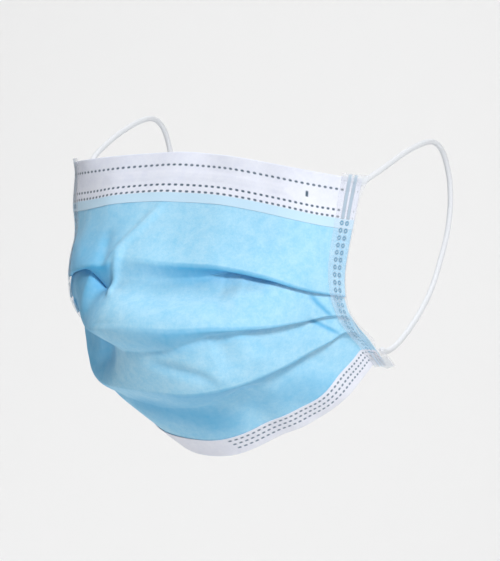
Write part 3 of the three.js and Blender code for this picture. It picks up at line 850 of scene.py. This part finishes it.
def tape_material(name, base, light, ring, alpha):
    """A thin film: see-through where it is plain, denser where it is welded."""
    material, tree, shader = new_material(name, 0.42, 0.1)
    finish = add_nonwoven(tree, shader, base, light, fuzz=0.6)
    factor = attribute_factor(tree, "weld")
    tree.links.new(mix_colours(tree, factor, finish, ring), shader.inputs["Base Color"])
    dense = node(tree, "ShaderNodeMapRange")
    dense.inputs["From Max"].default_value = 0.5
    dense.inputs["To Min"].default_value = alpha
    dense.inputs["To Max"].default_value = 0.8
    tree.links.new(factor, dense.inputs["Value"])
    tree.links.new(dense.outputs[0], shader.inputs["Alpha"])
    return material


def cord_material(name, base, shade):
    """White knitted cord: fine noise between two tones, and a bump of the same noise."""
    material, tree, shader = new_material(name, 0.7, 0.3)
    coordinates = tree.nodes.new("ShaderNodeTexCoord").outputs["Object"]
    knit = node(tree, "ShaderNodeTexNoise", Scale=1600.0, Detail=2.0)
    tree.links.new(coordinates, knit.inputs["Vector"])
    tree.links.new(mix_colours(tree, knit.outputs[0], base, shade), shader.inputs["Base Color"])
    bump = node(tree, "ShaderNodeBump", Strength=0.4, Distance=0.0002)
    tree.links.new(knit.outputs[0], bump.inputs["Height"])
    tree.links.new(bump.outputs[0], shader.inputs["Normal"])
    return material


def plain_material(name, tone, roughness):
    """One even tone."""
    material, _, shader = new_material(name, roughness, 0.0)
    shader.inputs["Base Color"].default_value = tone
    return material


def make_camera():
    """The camera looks along the azimuth and elevation, and is moved square to its view until the origin lies
    at its pixel."""
    azimuth, elevation, roll = np.radians([CAMERA_AZIMUTH, CAMERA_ELEVATION, CAMERA_ROLL])
    right = np.array([np.cos(azimuth), np.sin(azimuth), 0.0])
    level = np.array([np.sin(azimuth), -np.cos(azimuth), 0.0])
    back = level * np.cos(elevation) + np.array([0.0, 0.0, np.sin(elevation)])
    above = np.cross(back, right)
    image_right = right * np.cos(roll) + above * np.sin(roll)
    image_above = above * np.cos(roll) - right * np.sin(roll)
    offset_right = (IMAGE_WIDTH / 2 - ORIGIN_PIXEL[0]) / PIXELS_PER_MM
    offset_down = (IMAGE_HEIGHT / 2 - ORIGIN_PIXEL[1]) / PIXELS_PER_MM
    position = back * CAMERA_DISTANCE + image_right * offset_right - image_above * offset_down
    data = bpy.data.cameras.new("camera")
    data.sensor_fit = "HORIZONTAL"
    data.sensor_width = 36.0
    data.lens = PIXELS_PER_MM * CAMERA_DISTANCE * data.sensor_width / IMAGE_WIDTH
    data.clip_end = 20.0
    camera = bpy.data.objects.new("camera", data)
    turned = Matrix((image_right, image_above, back)).transposed().to_4x4()
    camera.matrix_world = Matrix.Translation(Vector(position * MM)) @ turned
    bpy.context.scene.collection.objects.link(camera)
    bpy.context.scene.camera = camera


def make_sweep(tone):
    """A floor that curves up into a backdrop: a flat run, a quarter circle and a wall, carried sideways."""
    floor, front, behind, radius, top, half_width = -0.45, -3.0, 1.6, 0.9, 3.2, 4.0
    turn = np.linspace(0.0, np.pi / 2, 24)
    y = np.concatenate([[front], behind + radius * np.sin(turn), [behind + radius]])
    z = np.concatenate([[floor], floor + radius * (1 - np.cos(turn)), [top]])
    left = np.stack([np.full(len(y), -half_width), y, z], axis=1)
    right = left * np.array([-1.0, 1.0, 1.0])
    ids = np.arange(len(y))
    faces = np.stack([ids[:-1], ids[:-1] + len(y), ids[1:] + len(y), ids[1:]], axis=1)
    mesh = bpy.data.meshes.new("sweep")
    mesh.from_pydata(np.concatenate([left, right]).tolist(), [], faces.tolist())
    mesh.polygons.foreach_set("use_smooth", np.ones(len(faces), dtype=bool))
    sweep = bpy.data.objects.new("sweep", mesh)
    bpy.context.scene.collection.objects.link(sweep)
    mesh.materials.append(plain_material("sweep_paper", tone, 0.9))


def make_light(name, position, aim, size, power):
    """A square lamp that faces a point."""
    data = bpy.data.lights.new(name, "AREA")
    data.shape = "SQUARE"
    data.size = size
    data.energy = power
    light = bpy.data.objects.new(name, data)
    light.location = position
    light.rotation_euler = (Vector(aim) - Vector(position)).to_track_quat("-Z", "Y").to_euler()
    bpy.context.scene.collection.objects.link(light)


def make_studio():
    """Soft daylight all round, a key lamp high on the right, a low fill and a lamp for the backdrop."""
    scene = bpy.context.scene
    scene.view_settings.view_transform = "Standard"
    scene.view_settings.look = "None"
    world = bpy.data.worlds.new("studio")
    scene.world = world
    world.use_nodes = True
    background = world.node_tree.nodes["Background"]
    background.inputs["Color"].default_value = (1.0, 1.0, 1.0, 1.0)
    background.inputs["Strength"].default_value = 0.18
    aim = (0.0, 0.02, -0.06)
    make_light("key", (1.2, -1.3, 1.0), aim, 0.4, 30.5)
    make_light("fill", (1.2, -1.7, 0.2), aim, 0.9, 4.0)
    make_light("backdrop", (-1.2, 0.7, 2.4), (-1.2, 2.4, 0.0), 2.0, 66.0)


def dress(piece, slot, node_name, *materials):
    """Gives a piece its materials, ties it to the root body and hides the imported node it stands in for; the
    slot is not used.
    """
    for material in materials:
        piece.data.materials.append(material)
    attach(piece, "root")
    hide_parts(node_name)


make_camera()
make_studio()
make_sweep(colour(232, 232, 232))

white_cord = cord_material("white_elastic", colour(234, 236, 239), colour(212, 216, 222))
for side_name, route in EAR_LOOP_ROUTES.items():
    loop, centre, loop_length = make_ear_loop(f"elastic_{side_name}", route)
    dress(loop, "elastic_white", f"ear_loop_{side_name}", white_cord)

# The third colour of each cloth material is its painted shade colour
blue = cloth_material("blue_spunbond", colour(142, 207, 240), colour(181, 226, 249), colour(0, 158, 214))
lining = cloth_material("white_lining_face", colour(236, 239, 244), colour(246, 248, 251),
                        colour(225, 229, 236))
body = make_body()
dress(body, "cloth_blue", "mask_body", blue, lining)

strip_white = strip_material("strip_spunbond", colour(224, 228, 243), colour(236, 239, 249),
                             dash=colour(70, 92, 110), tint=colour(196, 226, 246))
top_strip = make_strip("nose_strip", TOP_STRIP, TOP_STRIP_BACK, False, top_welds)
dress(top_strip, "strip_white", "top_binding", strip_white)

hem_white = strip_material("hem_spunbond", colour(224, 227, 240), colour(236, 238, 247),
                           dash=colour(92, 116, 136))
bottom_strip = make_strip("chin_strip", BOTTOM_STRIP, BOTTOM_STRIP_BACK, True, bottom_welds)
dress(bottom_strip, "strip_white", "bottom_binding", hem_white)

clear_tape = tape_material("clear_tape", colour(236, 238, 243), colour(242, 244, 248),
                           ring=colour(92, 156, 190), alpha=0.14)
for side_name, side in (("left", -1.0), ("right", 1.0)):
    tape = make_tape(f"end_tape_{side_name}", side)
    dress(tape, "tape_clear", f"side_binding_{side_name}", clear_tape)

cloth_length = float(fold_section(np.zeros(1))[2][0, -1])
